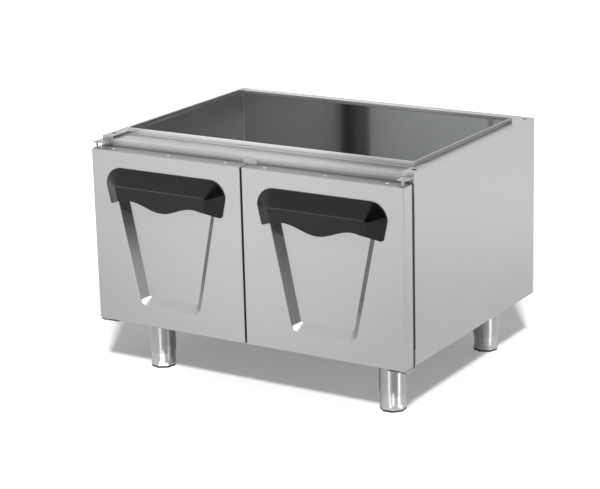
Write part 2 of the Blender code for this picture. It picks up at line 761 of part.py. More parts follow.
def leg(word, x, y):
    axis = Vector((x, y, 0))
    half = LEG_PLATE_WIDTH / 2
    plate_low = UNDER_FLOOR - LEG_PLATE_THICKNESS
    plate = box((x - half, y - half, plate_low), (x + half, y + half, UNDER_FLOOR))
    upright = [e for e in plate.edges if abs(e.verts[0].co.z - e.verts[1].co.z) > LEG_PLATE_THICKNESS / 2]
    soften(plate, upright, LEG_PLATE_CORNER)
    add_piece(f"leg_plate_{word}", plate, "steel")

    radius, mouth = SLEEVE_DIAMETER / 2, SLEEVE_MOUTH_DIAMETER / 2
    bore = INSERT_DIAMETER / 2 + FOOT_RUNNING_GAP
    head = plate_low - FIT
    low, ceiling = SLEEVE_FLOOR_GAP, head - SLEEVE_CAP
    profile = [(0, head), (radius, head), (radius, low + SLEEVE_TAPER), (mouth, low),
               (bore, low), (bore, ceiling), (0, ceiling)]
    turned(f"leg_sleeve_{word}", profile, axis, TURN_STEPS, "steel")

    outer, inner = bore - FIT, STUD_DIAMETER / 2 + FIT
    crown = NUT_FROM_FLOOR + NUT_HEIGHT
    ring = [(outer, crown), (outer, NUT_FROM_FLOOR), (inner, NUT_FROM_FLOOR), (inner, crown)]
    turned(f"leg_nut_{word}", ring, axis, TURN_STEPS, "pin_steel", None, True)

    holder = add_holder(f"foot_axis_{word}", axis)
    foot(word, axis, holder)
    holder.rotation_euler.z = math.radians(FOOT_TURNS[word])


SIDES = ((-1, "left"), (1, "right"))

clear_scene()
PARTS = new_collection("equipment_stand_cabinet")
GUIDES = new_collection("cutters_and_guides")
FINISH = {
    "steel": new_finish("steel", (0.60, 0.61, 0.62), 0.34, 1.0),
    "polished": new_finish("polished", (0.58, 0.59, 0.60), 0.16, 1.0),
    "foot_steel": new_finish("foot_steel", (0.58, 0.58, 0.59), 0.38, 1.0),
    "pin_steel": new_finish("pin_steel", (0.50, 0.50, 0.51), 0.40, 1.0),
    "handle_plastic": new_finish("handle_plastic", (0.024, 0.025, 0.027), 0.42, 0.0),
    "catch_plastic": new_finish("catch_plastic", (0.62, 0.63, 0.62), 0.50, 0.0),
    "magnet": new_finish("magnet", (0.09, 0.09, 0.10), 0.45, 0.6),
    "nylon": new_finish("nylon", (0.72, 0.72, 0.70), 0.45, 0.0),
    "pad_rubber": new_finish("pad_rubber", (0.020, 0.020, 0.021), 0.75, 0.0),
}

for side, word in SIDES:
    side_panel(side, word)
    side_rail(side, word)
    front_post(side, word)
    upper_hinge(side, word)
    lower_hinge(side, word)
    door(side, word)
    for end, leg_y in (("front", FRONT + LEG_FROM_FRONT), ("rear", BACK - LEG_FROM_BACK)):
        leg(f"{end}_{word}", side * (HALF - LEG_FROM_SIDE), leg_y)
front_rail()
rear_rail()
back_panel()
floor_tray()
catch()
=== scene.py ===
import json
import math

import bmesh
import bpy
from bpy.props import FloatProperty, FloatVectorProperty, IntProperty, PointerProperty
from mathutils import Matrix, Vector

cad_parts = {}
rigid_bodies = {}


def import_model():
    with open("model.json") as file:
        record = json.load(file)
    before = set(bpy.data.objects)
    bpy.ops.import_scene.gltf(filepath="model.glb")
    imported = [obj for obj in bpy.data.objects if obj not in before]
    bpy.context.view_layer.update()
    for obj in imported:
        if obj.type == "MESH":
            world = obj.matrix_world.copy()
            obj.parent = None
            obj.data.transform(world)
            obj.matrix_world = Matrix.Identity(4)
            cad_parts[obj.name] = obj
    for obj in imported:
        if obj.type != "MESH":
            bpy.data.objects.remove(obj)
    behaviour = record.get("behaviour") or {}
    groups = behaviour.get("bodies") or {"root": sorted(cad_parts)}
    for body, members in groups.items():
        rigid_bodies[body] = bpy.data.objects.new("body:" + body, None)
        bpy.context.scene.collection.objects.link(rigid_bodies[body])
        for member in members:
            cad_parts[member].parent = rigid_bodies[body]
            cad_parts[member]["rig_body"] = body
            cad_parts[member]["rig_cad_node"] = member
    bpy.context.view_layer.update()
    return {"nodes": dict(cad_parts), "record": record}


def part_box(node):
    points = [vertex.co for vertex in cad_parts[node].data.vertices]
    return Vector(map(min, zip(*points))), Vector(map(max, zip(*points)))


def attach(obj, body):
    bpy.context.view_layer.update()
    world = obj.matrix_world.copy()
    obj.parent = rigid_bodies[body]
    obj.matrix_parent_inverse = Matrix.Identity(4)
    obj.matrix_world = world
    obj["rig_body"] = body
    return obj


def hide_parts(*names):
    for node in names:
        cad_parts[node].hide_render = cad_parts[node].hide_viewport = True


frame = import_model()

bl_info = {
    "name": "Equipment stand cabinet",
    "version": (1, 0, 0),
    "blender": (4, 5, 0),
    "location": "View3D > Sidebar > Stand",
    "description": "Dresses a low stainless stand with doors, hood handles and adjustable feet",
    "category": "Object",
}

SLOT_COLOUR = {entry["slot"]: entry["base_color"] for entry in frame["record"]["materials"]}
NODE_SLOT = {entry["node"]: entry["material_slot"] for entry in frame["record"]["subparts"]}
BODY_OF = {node: body for body, nodes in frame["record"]["behaviour"]["bodies"].items() for node in nodes}
SIDES = ("left", "right")
LEVELS = ("upper", "lower")
LEGS = tuple(f"{end}_{side}" for end in ("front", "rear") for side in SIDES)

# Edges sharper than the fold angle are rounded, those sharper than the smooth angle stay crisp, and seams below the
# flat angle are cleared.
FOLD_ANGLE = math.radians(35)
SMOOTH_ANGLE = math.radians(50)
FLAT_ANGLE = math.radians(0.3)
JOIN_DISTANCE = 0.00001

# Thickness of the body sheets and the hinge brackets, and how deep a fixing sits in its sheet
SHEET = 0.0012
BRACKET = 0.0020
SEAT_DEPTH = 0.0001

# Where the doors end at the top and the back, and where the upright rim starts, just above the side panels
DOOR_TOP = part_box("door_skin_left")[1].z
DOOR_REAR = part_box("door_skin_left")[1].y
RIM_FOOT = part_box("side_panel_left")[1].z + 0.0008

# The lower tips of a handle: how near its end a tip lies, how far it leans outwards and the angle between its sides.
# The block that cuts the rounding and the rod taken from that block are sized in radii of the rounding.
TIP_REACH = 0.012
TIP_LEAN = math.radians(28.6)
TIP_ANGLE = math.radians(82)
TIP_BLOCK, TIP_STRETCH, TIP_ROD, TIP_STEPS = 1.2, 3, 6, 64

# Corner beads stop short of the back panel's ends and narrow there
BEAD_STOP = 0.012
BEAD_TAPER = 0.001
BEAD_STEPS = 24

# Slip plates: how far they reach past the pin, their gap at the back, their corners and edges, and how far the cutter
# of the hole stands out of them
PLATE_REACH = 0.012
PLATE_REAR = 0.0012
PLATE_CORNER = 0.003
PLATE_EDGE = 0.0002
CUT_PAST = 0.001
HOLE_STEPS = 48

# Domed heads as shares of their radius and height, and the slots of a cross recess, long and wide as shares of the
# radius and deep as a share of the height. A screw lies a little below its bracket's top edge.
RIVET_DOME = ((1, 0), (1, 0.3), (0.94, 0.55), (0.8, 0.8), (0.55, 0.95), (0.3, 1))
SCREW_DOME = ((1, 0), (1, 0.35), (0.93, 0.65), (0.75, 0.9), (0.45, 1))
SLOT_LONG, SLOT_WIDE, SLOT_DEEP = 1.15, 0.26, 1.1
SCREW_DROP = 0.0080
HEAD_STEPS = 32

# The rolled mouth of a leg tube: how far in from the tube's side and how far up from its lower end. The bore ends a
# step below the tube's top.
MOUTH = (
    (0, 0.0112), (0.0001, 0.0098), (0.00065, 0.0030), (0.00075, 0.0012), (0.00085, 0.0005), (0.00115, 0.0001),
    (0.00135, 0.0001), (0.00165, 0.0004), (0.00175, 0.0010))
TUBE_STEP = 0.0040

# How far painted shade darkens the faces that lie in shade or mirror something dark, from 0 for none to 1 for the full
# darkening
PAINTED_SHADE_DOOR_TOP, PAINTED_SHADE_RETURN = 0.3, 0.9
PAINTED_SHADE_LEFT_WALL, PAINTED_SHADE_OTHER_LEFT_WALL, PAINTED_SHADE_RIGHT_WALL = 0.97, 0.50, 0.72
PAINTED_SHADE_BEHIND_DOOR = 0.9
PAINTED_SHADE_POST, PAINTED_SHADE_POST_FRONT = 0.85, 0.25
PAINTED_SHADE_RIM = 0.28
PAINTED_SHADE_RAIL, PAINTED_SHADE_RAIL_END, PAINTED_SHADE_RAIL_RIM_END = 0.38, 0.22, 0.5

# Where the painted shade lies: the rear strip of a door's returns, the recess on either side of the middle, the
# heights over which its walls darken, and the stretches at the right over which a rail and its rim do
RETURN_STRIP = 0.003
RECESS = (0.05, 0.35)
LEFT_WALL = (0.26, 0.40)
RIGHT_WALL = (0.20, 0.28)
RAIL_END = (0.05, 0.40)
RAIL_RIM_END = (0.10, 0.28)

# Roughness of the satin sheet, the doors' share of its brightness, and how strongly the outside-edge mask rises: the
# finishes paint paler highlights along those edges and make them smoother
SATIN = 0.34
DOOR_SHARE = 0.985
EDGE_HIGHLIGHT_AND_POLISH_GAIN = 6

# The studio floor, and the path on it that the middle of the doors mirrors to the camera: a line given by its
# direction across and its place, with the widths of the bright path and of the dimmer floor to its left. The last
# amounts are how far each stretch of floor glows or dims.
FLOOR_SIZE, FLOOR_DROP = 24, 0.0002
NEAR_FLOOR, FAR_FLOOR = 0.6, 2.2
FRONT_FLOOR = (-0.75, -0.35)
BACK_FLOOR = (1.2, 2.2)
PATH_ACROSS, PATH_PLACE = (0.830, -0.557), 0.168
PATH_WIDTH = 0.5
LEFT_OF_PATH = (-0.7, -0.1)
FLOOR_GLOW, FAR_GLOW, PATH_GLOW, BACK_DIM, LEFT_DIM = 0.20, 0.48, 0.26, 0.20, 0.32

# Lights and dark boards: where they hang, which way they face, their sizes and each strip's share of the power
KEY_DISTANCE = 4
STRIPS = (("right_strip", math.radians(76), 1.2), ("front_strip", math.radians(2), 1.15))
STRIP_SIZE, STRIP_DISTANCE, STRIP_SHIFT = (0.22, 1.35), 2.4, Vector((0.15, 0, 0.75))
BANK_SIZE, BANK_TOWARDS, BANK_LIFT = (1.4, 0.3), Vector((-1.342, -1.99, 0.60)), Vector((0, 0, 0.45))
SNOOT_PLACE, SNOOT_TARGET = Vector((-0.08, 1.50, 2.15)), Vector((-0.20, -0.262, 0.25))
SNOOT_WIDTH, SNOOT_BLEND, SNOOT_BULB = math.radians(14), 0.15, 0.05
FLAGS = (
    ("right_flag", (0.95, -0.95, 0.31), (-1, 0, 0), (1.0, 0.6)),
    ("camera_flag", (0.88, -1.70, 1.14), (-0.40, 0.82, -0.41), (2.3, 1.9)))
FLAG_SHADE = (0.05, 0.05, 0.05, 1)
WHITE = (1, 1, 1, 1)
BLACK = (0, 0, 0)
SENSOR_WIDTH = 36


class StandSizes(bpy.types.PropertyGroup):
    """Sizes of the details that the looks add to the solids."""

    sheet_round: FloatProperty(
        name="Sheet edge", description="Rounding on the cut edges of the sheets", default=0.00025, unit="LENGTH")
    handle_round: FloatProperty(
        name="Handle edge", description="Rounding on the edges of the moulded handles", default=0.0009, unit="LENGTH")
    tip_round: FloatProperty(
        name="Handle tip", description="Rounding of the lower tips of the handles", default=0.0048, unit="LENGTH")
    foot_round: FloatProperty(
        name="Foot edge", description="Rounding between the flats of a foot", default=0.0006, unit="LENGTH")
    turn_steps: IntProperty(
        name="Turning steps", description="Sides of a leg tube", default=96, min=24, max=256)
    rivet_diameter: FloatProperty(
        name="Rivet head", description="Width of the rivet heads on the doors", default=0.0072, unit="LENGTH")
    rivet_height: FloatProperty(
        name="Rivet height", description="Height of the rivet heads on the doors", default=0.0011, unit="LENGTH")
    rivet_spacing: FloatProperty(
        name="Rivet spacing", description="Distance between rivets along a door", default=0.150, unit="LENGTH")
    bead: FloatProperty(
        name="Corner bead", description="Width of the bead in the inner rear corners", default=0.0034, unit="LENGTH")
    slip_clearance: FloatProperty(
        name="Slip clearance", description="Gap between a door and the plate below it", default=0.0002, unit="LENGTH")
    screw_diameter: FloatProperty(
        name="Screw head", description="Width of the screw heads on the hinge brackets", default=0.0078,
        unit="LENGTH")
    screw_height: FloatProperty(
        name="Screw height", description="Height of the screw heads on the hinge brackets", default=0.0021,
        unit="LENGTH")


class StandColours(bpy.types.PropertyGroup):
    """Colours of the finishes."""

    sheet: FloatVectorProperty(
        name="Sheet", description="Satin brushed sheet", default=(0.470, 0.472, 0.475), subtype="COLOR")
    # The rails are polished, and their colour is set far paler than the body sheet as painted light on them; painted
    # shade takes it down below the rim and towards the right end
    rail: FloatVectorProperty(
        name="Rails", description="Polished sheet of the front and rear rails", default=(0.90, 0.902, 0.905),
        subtype="COLOR")
    pan: FloatVectorProperty(
        name="Pans", description="Plain mill sheet inside the doors", default=(0.62, 0.63, 0.625), subtype="COLOR")
    bright_sheet: FloatVectorProperty(
        name="Bright sheet", description="Bright sheet of the back wall", default=(0.72, 0.73, 0.735),
        subtype="COLOR")
    leg: FloatVectorProperty(
        name="Leg tube", description="Polished tube of the legs", default=(0.53, 0.53, 0.535), subtype="COLOR")
    foot: FloatVectorProperty(
        name="Foot", description="Turned steel of the feet", default=SLOT_COLOUR["foot_steel"], subtype="COLOR")
    pin: FloatVectorProperty(
        name="Pins", description="Plain steel of pins, nuts and studs", default=SLOT_COLOUR["pin_steel"],
        subtype="COLOR")
    handle: FloatVectorProperty(
        name="Handle", description="Black moulded plastic", default=(0.006, 0.0062, 0.0066), subtype="COLOR")
    catch: FloatVectorProperty(
        name="Catch", description="Pale plastic of the catch", default=(0.40, 0.405, 0.40), subtype="COLOR")
    magnet: FloatVectorProperty(
        name="Magnet", description="Dark ferrite", default=SLOT_COLOUR["magnet"], subtype="COLOR")
    nylon: FloatVectorProperty(
        name="Bush", description="Grey nylon of the bushes", default=(0.24, 0.24, 0.235), subtype="COLOR")
    pad: FloatVectorProperty(
        name="Pad", description="Black rubber under the feet", default=(0.006, 0.006, 0.0065), subtype="COLOR")
    floor: FloatVectorProperty(
        name="Floor", description="Pale studio floor", default=(0.86, 0.86, 0.86), subtype="COLOR")


class StandStudio(bpy.types.PropertyGroup):
    """Where the picture is taken from, and its light."""

    camera_place: FloatVectorProperty(
        name="Camera", description="Where the camera stands", default=(2.3016, -3.7339, 1.5568),
        subtype="TRANSLATION", unit="LENGTH")
    camera_turn: FloatProperty(
        name="Turn", description="How far the camera looks round from the front", default=math.radians(32.1033),
        subtype="ANGLE")
    camera_tilt: FloatProperty(
        name="Tilt", description="How far the camera looks down", default=math.radians(16.1905), subtype="ANGLE")
    camera_roll: FloatProperty(
        name="Roll", description="How far the picture leans", default=math.radians(-1.4606), subtype="ANGLE")
    lens: FloatProperty(
        name="Lens", description="Focal length on a 36 mm wide sensor, in millimetres", default=119.343)
    key: FloatProperty(
        name="Key light", description="Strength of the light that casts the shadow", default=3.45, min=0)
    key_turn: FloatProperty(
        name="Key turn", description="How far round from the front the key light stands",
        default=math.radians(31.6), subtype="ANGLE")
    key_rise: FloatProperty(
        name="Key rise", description="How high the key light stands", default=math.radians(43.1), subtype="ANGLE")
    key_spread: FloatProperty(
        name="Key spread", description="Softness of the shadow's edge", default=math.radians(5), subtype="ANGLE")
    room: FloatProperty(
        name="Room light", description="Strength of the plain light all round", default=0.22, min=0)
    strip: FloatProperty(
        name="Strip lights", description="Power of the upright strip lights", default=17.0, min=0, unit="POWER")
    bank: FloatProperty(
        name="Left bank", description="Power of the wide light at the front left", default=9.0, min=0, unit="POWER")
    snoot: FloatProperty(
        name="Snoot", description="Power of the narrow light on the inside of the doors", default=190.0, min=0,
        unit="POWER")


class Link:
    """A socket that gives a value, so that a finish can be written as a sum."""

    def __init__(self, finish, socket):
        self.finish = finish
        self.socket = socket

    def maths(self, operation, first, second=0.0):
        return self.finish.node("ShaderNodeMath", {"operation": operation}, {0: first, 1: second})

    def __add__(self, other):
        return self.maths("ADD", self, other)

    def __radd__(self, other):
        return self.maths("ADD", other, self)

    def __sub__(self, other):
        return self.maths("SUBTRACT", self, other)

    def __rsub__(self, other):
        return self.maths("SUBTRACT", other, self)

    def __mul__(self, other):
        return self.maths("MULTIPLY", self, other)

    def __rmul__(self, other):
        return self.maths("MULTIPLY", other, self)

    def __abs__(self):
        return self.maths("ABSOLUTE", self)

    def above(self, other):
        return self.maths("GREATER_THAN", self, other)

    def largest(self, other):
        return self.maths("MAXIMUM", self, other)

    def held(self):
        """The value kept between 0 and 1."""
        return self.finish.node("ShaderNodeClamp", {}, {"Value": self})


class Finish:
    """A material made of nodes."""

    def __init__(self, name, tree=None):
        if tree is None:
            self.material = bpy.data.materials.new(name)
            self.material.use_nodes = True
            tree = self.material.node_tree
        self.tree = tree
        self.tree.nodes.clear()

    def node(self, kind, settings=None, sockets=None, out=0):
        """Adds a node: its settings first, then the values or links of its sockets."""
        made = self.tree.nodes.new(kind)
        for name, value in (settings or {}).items():
            if name == "stops":
                for stop, (place, shade) in zip(made.color_ramp.elements, value):
                    stop.position = place
                    stop.color = (*[shade] * 3, 1)
            else:
                setattr(made, name, value)
        for name, value in (sockets or {}).items():
            if isinstance(value, Link):
                self.tree.links.new(value.socket, made.inputs[name])
            else:
                made.inputs[name].default_value = value
        return Link(self, made.outputs[out]) if len(made.outputs) else made

    def place(self):
        """Where a spot lies on the piece."""
        return self.node("ShaderNodeTexCoord", out="Object")

    def along(self, axis):
        """How far a spot lies along a direction of the piece."""
        return self.node("ShaderNodeSeparateXYZ", {}, {"Vector": self.place()}, axis)

    def facing(self, axis, sign=0, limit=0.6):
        """1 on faces turned along a direction of the piece, either way where no sign is given, and 0 on the others."""
        normal = self.node("ShaderNodeTexCoord", out="Normal")
        part = self.node("ShaderNodeSeparateXYZ", {}, {"Vector": normal}, axis)
        return (part * sign if sign else abs(part)).above(limit)

    def fade(self, value, first, last):
        """Rises softly from 0 to 1 between two values."""
        return self.node("ShaderNodeMapRange", {"interpolation_type": "SMOOTHSTEP"}, {
            "Value": value, "From Min": first, "From Max": last})

    def stretched(self, scale, detail, roughness):
        """Noise drawn out by a different scale along each direction of the piece."""
        where = self.node("ShaderNodeMapping", {}, {"Vector": self.place(), "Scale": scale})
        return self.node("ShaderNodeTexNoise", {}, {
            "Vector": where, "Scale": 1.0, "Detail": detail, "Roughness": roughness}, "Fac")

    def ramp(self, value, *stops):
        return self.node("ShaderNodeValToRGB", {"stops": stops}, {"Fac": value}, "Color")

    def shade(self, factor, first, second):
        """A colour between two others, each a colour or a link."""
        ends = [end if isinstance(end, Link) else (*end, 1) for end in (first, second)]
        return self.node("ShaderNodeMix", {"data_type": "RGBA"}, {0: factor, 6: ends[0], 7: ends[1]}, 2)

    def edges(self, reach):
        """Near 1 along outside edges: there the finishes paint a paler highlight and make the surface smoother."""
        soft = self.node("ShaderNodeBevel", {"samples": 4}, {"Radius": reach})
        true = self.node("ShaderNodeNewGeometry", out="Normal")
        along = self.node("ShaderNodeVectorMath", {"operation": "DOT_PRODUCT"}, {0: soft, 1: true}, "Value")
        return ((1 - along) * EDGE_HIGHLIGHT_AND_POLISH_GAIN).held()

    def bump(self, height, distance, strength):
        return self.node("ShaderNodeBump", {}, {"Height": height, "Distance": distance, "Strength": strength})

    def done(self, **sockets):
        """Puts the surface together from the shader's sockets."""
        values = {name.replace("_", " "): value for name, value in sockets.items()}
        surface = self.node("ShaderNodeBsdfPrincipled", {}, values)
        self.node("ShaderNodeOutputMaterial", {}, {"Surface": surface})
        return self.material


def tint(colour, factor):
    """A colour made darker or paler."""
    return tuple(min(1.0, part * factor) for part in colour)


def satin_sheet(name, colour, roughness, painted_shade=None, streaks=0.0, matt=0.2):
    """Brushed sheet: long grain across the upright faces, soft clouds of polish, and outside edges painted paler as a
    highlight.

    The function after the roughness gives painted shade: how far each face is darkened where it lies in shade or
    mirrors something dark; matt is how much rougher it is there. streaks is how far drawn lines along the sheet show.
    """
    finish = Finish(name)
    upright = finish.stretched(scale=(5, 5, 900), detail=3, roughness=0.6)
    flat = finish.stretched(scale=(5, 900, 900), detail=3, roughness=0.6)
    lying = finish.facing("Z")
    grain = upright * (1 - lying) + flat * lying
    clouds = finish.stretched(scale=(5, 5, 3), detail=2, roughness=0.5)
    smudges = finish.ramp(finish.stretched(scale=(11, 11, 9), detail=4, roughness=0.6), (0.52, 0), (0.75, 1))
    edges = finish.edges(0.0012)
    base = finish.shade((grain * 0.5 + clouds * 0.5).held(), tint(colour, 0.94), tint(colour, 1.05))
    rough = roughness - 0.07 + grain * 0.08 + clouds * 0.06 + smudges * 0.03 - edges * 0.06
    # Painted shade: the chosen faces are darkened towards a quarter of the sheet's colour, along with the drawn
    # streaks, and made rougher
    if painted_shade:
        painted_shade_mask = painted_shade(finish)
        streaks_and_painted_shade = painted_shade_mask
        if streaks:
            drawn = finish.stretched(scale=(1.5, 150, 150), detail=3, roughness=0.7)
            streaks_and_painted_shade = finish.ramp(drawn, (0.42, 0), (0.62, 1)) * streaks + painted_shade_mask
        base = finish.shade(streaks_and_painted_shade.held(), base, tint(colour, 0.25))
        if matt:
            rough = rough + painted_shade_mask * matt
    # Painted highlight: outside edges are painted paler than the sheet
    with_edge_highlight = finish.shade(edges * 0.5, base, tint(colour, 1.2))
    return finish.done(
        Base_Color=with_edge_highlight, Metallic=1.0, Roughness=rough, Normal=finish.bump(grain, distance=0.00001, strength=0.35))


def bright_sheet(name, colour, outside):
    """Bright sheet: nearly mirror-like inside, with the slight waves of thin metal, and satin outside."""
    finish = Finish(name)
    outer = finish.facing("Y", 1)
    waves = finish.stretched(scale=(4, 4, 5), detail=1, roughness=0.4)
    grain = finish.stretched(scale=(4, 4, 1100), detail=2, roughness=0.6)
    clouds = finish.stretched(scale=(6, 6, 6), detail=3, roughness=0.5)
    inner = finish.shade(clouds, tint(colour, 0.95), tint(colour, 1.04))
    brushed = finish.shade((clouds * 0.5 + grain * 0.5).held(), tint(outside, 0.94), tint(outside, 1.05))
    base = finish.shade(outer, inner, brushed)
    rough = 0.04 + grain * 0.03 + clouds * 0.03 + outer * 0.27
    height = waves + grain * 0.004
    return finish.done(
        Base_Color=base, Metallic=1.0, Roughness=rough, Normal=finish.bump(height, distance=0.0004, strength=0.5))


def turned_steel(name, colour, roughness, streak):
    """Turned or polished steel: fine rings round the piece that draw each highlight out along it."""
    finish = Finish(name)
    rings = finish.stretched(scale=(14, 14, 1500), detail=3, roughness=0.6)
    clouds = finish.stretched(scale=(40, 40, 25), detail=3, roughness=0.55)
    edges = finish.edges(0.0008)
    base = finish.shade((rings * 0.6 + clouds * 0.4).held(), tint(colour, 0.92), tint(colour, 1.06))
    rough = roughness - 0.03 + rings * 0.04 + clouds * 0.03 - edges * 0.04
    return finish.done(
        Base_Color=base, Metallic=1.0, Roughness=rough, Anisotropic=streak, Anisotropic_Rotation=0.25,
        Normal=finish.bump(rings, distance=0.00001, strength=0.15))


def moulded_plastic(name, colour, roughness, pit, lift, gloss=0.5):
    """Moulded plastic: a fine pitted skin, slight flow clouds, and edges made smoother and painted paler as a
    highlight.
    """
    finish = Finish(name)
    pits = finish.stretched(scale=(pit, pit, pit), detail=2, roughness=0.6)
    clouds = finish.stretched(scale=(18, 18, 30), detail=3, roughness=0.55)
    edges = finish.edges(0.0012)
    base = finish.shade((clouds * 0.7 + pits * 0.3).held(), tint(colour, 0.8), tint(colour, 1.25))
    # Painted highlight: outside edges are painted paler, by the given lift
    with_edge_highlight = finish.shade(edges * 0.35, base, tint(colour, lift))
    rough = roughness - 0.08 + pits * 0.08 + clouds * 0.08 - edges * 0.08
    return finish.done(
        Base_Color=with_edge_highlight, Roughness=rough, Specular_IOR_Level=gloss,
        Normal=finish.bump(pits, distance=0.00005, strength=0.25))


def rubber(name, colour):
    """Matt rubber with a dusty speckle."""
    finish = Finish(name)
    speckle = finish.stretched(scale=(900, 900, 900), detail=2, roughness=0.7)
    dust = finish.ramp(finish.stretched(scale=(60, 60, 60), detail=4, roughness=0.6), (0.5, 0), (0.8, 1))
    base = finish.shade((speckle * 0.4 + dust * 0.4).held(), tint(colour, 0.75), tint(colour, 1.9))
    return finish.done(
        Base_Color=base, Roughness=0.72 + dust * 0.15, Normal=finish.bump(speckle, distance=0.0001, strength=0.35))


def paint_door_shade(finish):
    """Paints shade on a door's top edge, the rear strip of its returns and the upper walls of its recess.

    The left wall gets more painted shade on the left door than on the other.
    """
    top = finish.facing("Z", 1, 0.95) * PAINTED_SHADE_DOOR_TOP
    rear = finish.along("Y").above(DOOR_REAR - RETURN_STRIP) * PAINTED_SHADE_RETURN
    across = finish.along("X")
    aside = abs(across)
    pressed = aside.above(RECESS[0]) * (1 - aside.above(RECESS[1]))
    height = finish.along("Z")
    on_left = PAINTED_SHADE_LEFT_WALL - across.above(0) * (PAINTED_SHADE_LEFT_WALL - PAINTED_SHADE_OTHER_LEFT_WALL)
    left = finish.facing("X", 1, 0.3) * finish.fade(height, *LEFT_WALL) * on_left
    right = finish.facing("X", -1, 0.3) * finish.fade(height, *RIGHT_WALL) * PAINTED_SHADE_RIGHT_WALL
    return (top + rear + pressed * (left + right)).held()


def behind_door(finish):
    """1 below the doors' top edge."""
    return 1 - finish.along("Z").above(DOOR_TOP)


def paint_side_shade(finish):
    """Paints shade on the front edge of a side panel where the doors cover it."""
    return finish.facing("Y", -1, 0.3) * behind_door(finish) * PAINTED_SHADE_BEHIND_DOOR


def paint_bracket_shade(finish):
    """Paints shade on a hinge bracket where the doors cover it."""
    return behind_door(finish) * PAINTED_SHADE_BEHIND_DOOR


def paint_post_shade(finish):
    """Paints shade on a post all over, least on its front."""
    return PAINTED_SHADE_POST - finish.facing("Y", -1) * (PAINTED_SHADE_POST - PAINTED_SHADE_POST_FRONT)


def paint_rim_shade(finish):
    """Paints shade on the long upright faces of a side rail."""
    return finish.facing("X") * PAINTED_SHADE_RIM


def paint_rail_shade(finish):
    """Paints shade on a rail below its rim and towards its right end."""
    rim = finish.along("Z").above(RIM_FOOT)
    across = finish.along("X")
    below = PAINTED_SHADE_RAIL + finish.fade(across, *RAIL_END) * PAINTED_SHADE_RAIL_END
    return rim * finish.fade(across, *RAIL_RIM_END) * PAINTED_SHADE_RAIL_RIM_END + (1 - rim) * below


def make_finishes(colours):
    """The finishes by name. Each is made once, by a function and what it is told."""
    makers = {
        "steel": (satin_sheet, colours.sheet, SATIN),
        # Finishes given a shade function are darkened by painted shade where it picks
        "door_sheet": (satin_sheet, tint(colours.sheet, DOOR_SHARE), SATIN, paint_door_shade, 0.0, 0.0),
        "side_sheet": (satin_sheet, colours.sheet, SATIN, paint_side_shade),
        "bracket_sheet": (satin_sheet, colours.sheet, SATIN, paint_bracket_shade),
        "post_sheet": (satin_sheet, colours.sheet, SATIN, paint_post_shade),
        "rim_sheet": (satin_sheet, colours.sheet, SATIN, paint_rim_shade),
        "rail_sheet": (satin_sheet, colours.rail, 0.30, paint_rail_shade, 0.2),
        "pan_sheet": (satin_sheet, colours.pan, 0.62),
        "polished_steel": (bright_sheet, colours.bright_sheet, colours.sheet),
        "leg_tube": (turned_steel, colours.leg, 0.44, 0.95),
        "foot_steel": (turned_steel, colours.foot, 0.40, 0.92),
        "pin_steel": (turned_steel, colours.pin, 0.3, 0.3),
        "fixing_steel": (turned_steel, colours.bright_sheet, 0.28, 0.0),
        "handle_plastic": (moulded_plastic, colours.handle, 0.24, 1600, 3.0, 0.32),
        "catch_plastic": (moulded_plastic, colours.catch, 0.45, 1200, 1.1),
        "magnet": (moulded_plastic, colours.magnet, 0.5, 2000, 1.6),
        "nylon": (moulded_plastic, colours.nylon, 0.42, 1500, 1.1),
        "pad_rubber": (rubber, colours.pad),
    }
    made = {}
    for finish, (maker, *told) in makers.items():
        name = f"stand_{finish}"
        made[finish] = bpy.data.materials.get(name) or maker(name, *told)
    return made


def start():
    """Leaves edit mode with nothing selected."""
    if bpy.context.mode != "OBJECT":
        bpy.ops.object.mode_set(mode="OBJECT")
    bpy.ops.object.select_all(action="DESELECT")


def pick(piece):
    """Selects one piece alone."""
    start()
    piece.select_set(True)
    bpy.context.view_layer.objects.active = piece


def settle():
    """Puts the place, turn and size of what is selected into its mesh."""
    bpy.ops.object.transform_apply(location=True, rotation=True, scale=True)


def label(piece, name):
    piece.name = name
    piece.data.name = name


def select_edges(piece, wanted):
    """Selects the edges of the piece in edit mode that a test picks out."""
    bpy.ops.mesh.select_mode(type="EDGE")
    bpy.ops.mesh.select_all(action="DESELECT")
    mesh = bmesh.from_edit_mesh(piece.data)
    for edge in mesh.edges:
        if wanted(edge):
            edge.select_set(True)
    mesh.select_flush_mode()
    bmesh.update_edit_mesh(piece.data)


def apply_modifier(kind, **settings):
    """Adds a modifier to the picked piece, sets it and applies it."""
    bpy.ops.object.modifier_add(type=kind)
    modifier = bpy.context.object.modifiers[-1]
    for name, value in settings.items():
        setattr(modifier, name, value)
    bpy.ops.object.modifier_apply(modifier=modifier.name)


def round_edges(piece, width, segments):
    pick(piece)
    apply_modifier("BEVEL", width=width, segments=segments, limit_method="ANGLE", angle_limit=FOLD_ANGLE)


def smooth(piece, angle=SMOOTH_ANGLE):
    """Smooth shading that keeps broad faces flat and folds crisp."""
    pick(piece)
    bpy.ops.object.shade_smooth_by_angle(angle=angle)
    apply_modifier("WEIGHTED_NORMAL", keep_sharp=True, weight=80)


def cut(piece, cutter):
    """Takes a cutter's shape out of a piece and clears the cutter away."""
    pick(piece)
    apply_modifier("BOOLEAN", operation="DIFFERENCE", solver="EXACT", object=cutter)
    pick(cutter)
    bpy.ops.object.delete()


def finish_piece(piece, body, finish, slot, *nodes):
    """Gives a piece its material and the body that it moves with, and hides the nodes that it stands for. The slot is
    not used.
    """
    piece.data.materials.clear()
    piece.data.materials.append(finish)
    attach(piece, body)
    if nodes:
        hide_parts(*nodes)


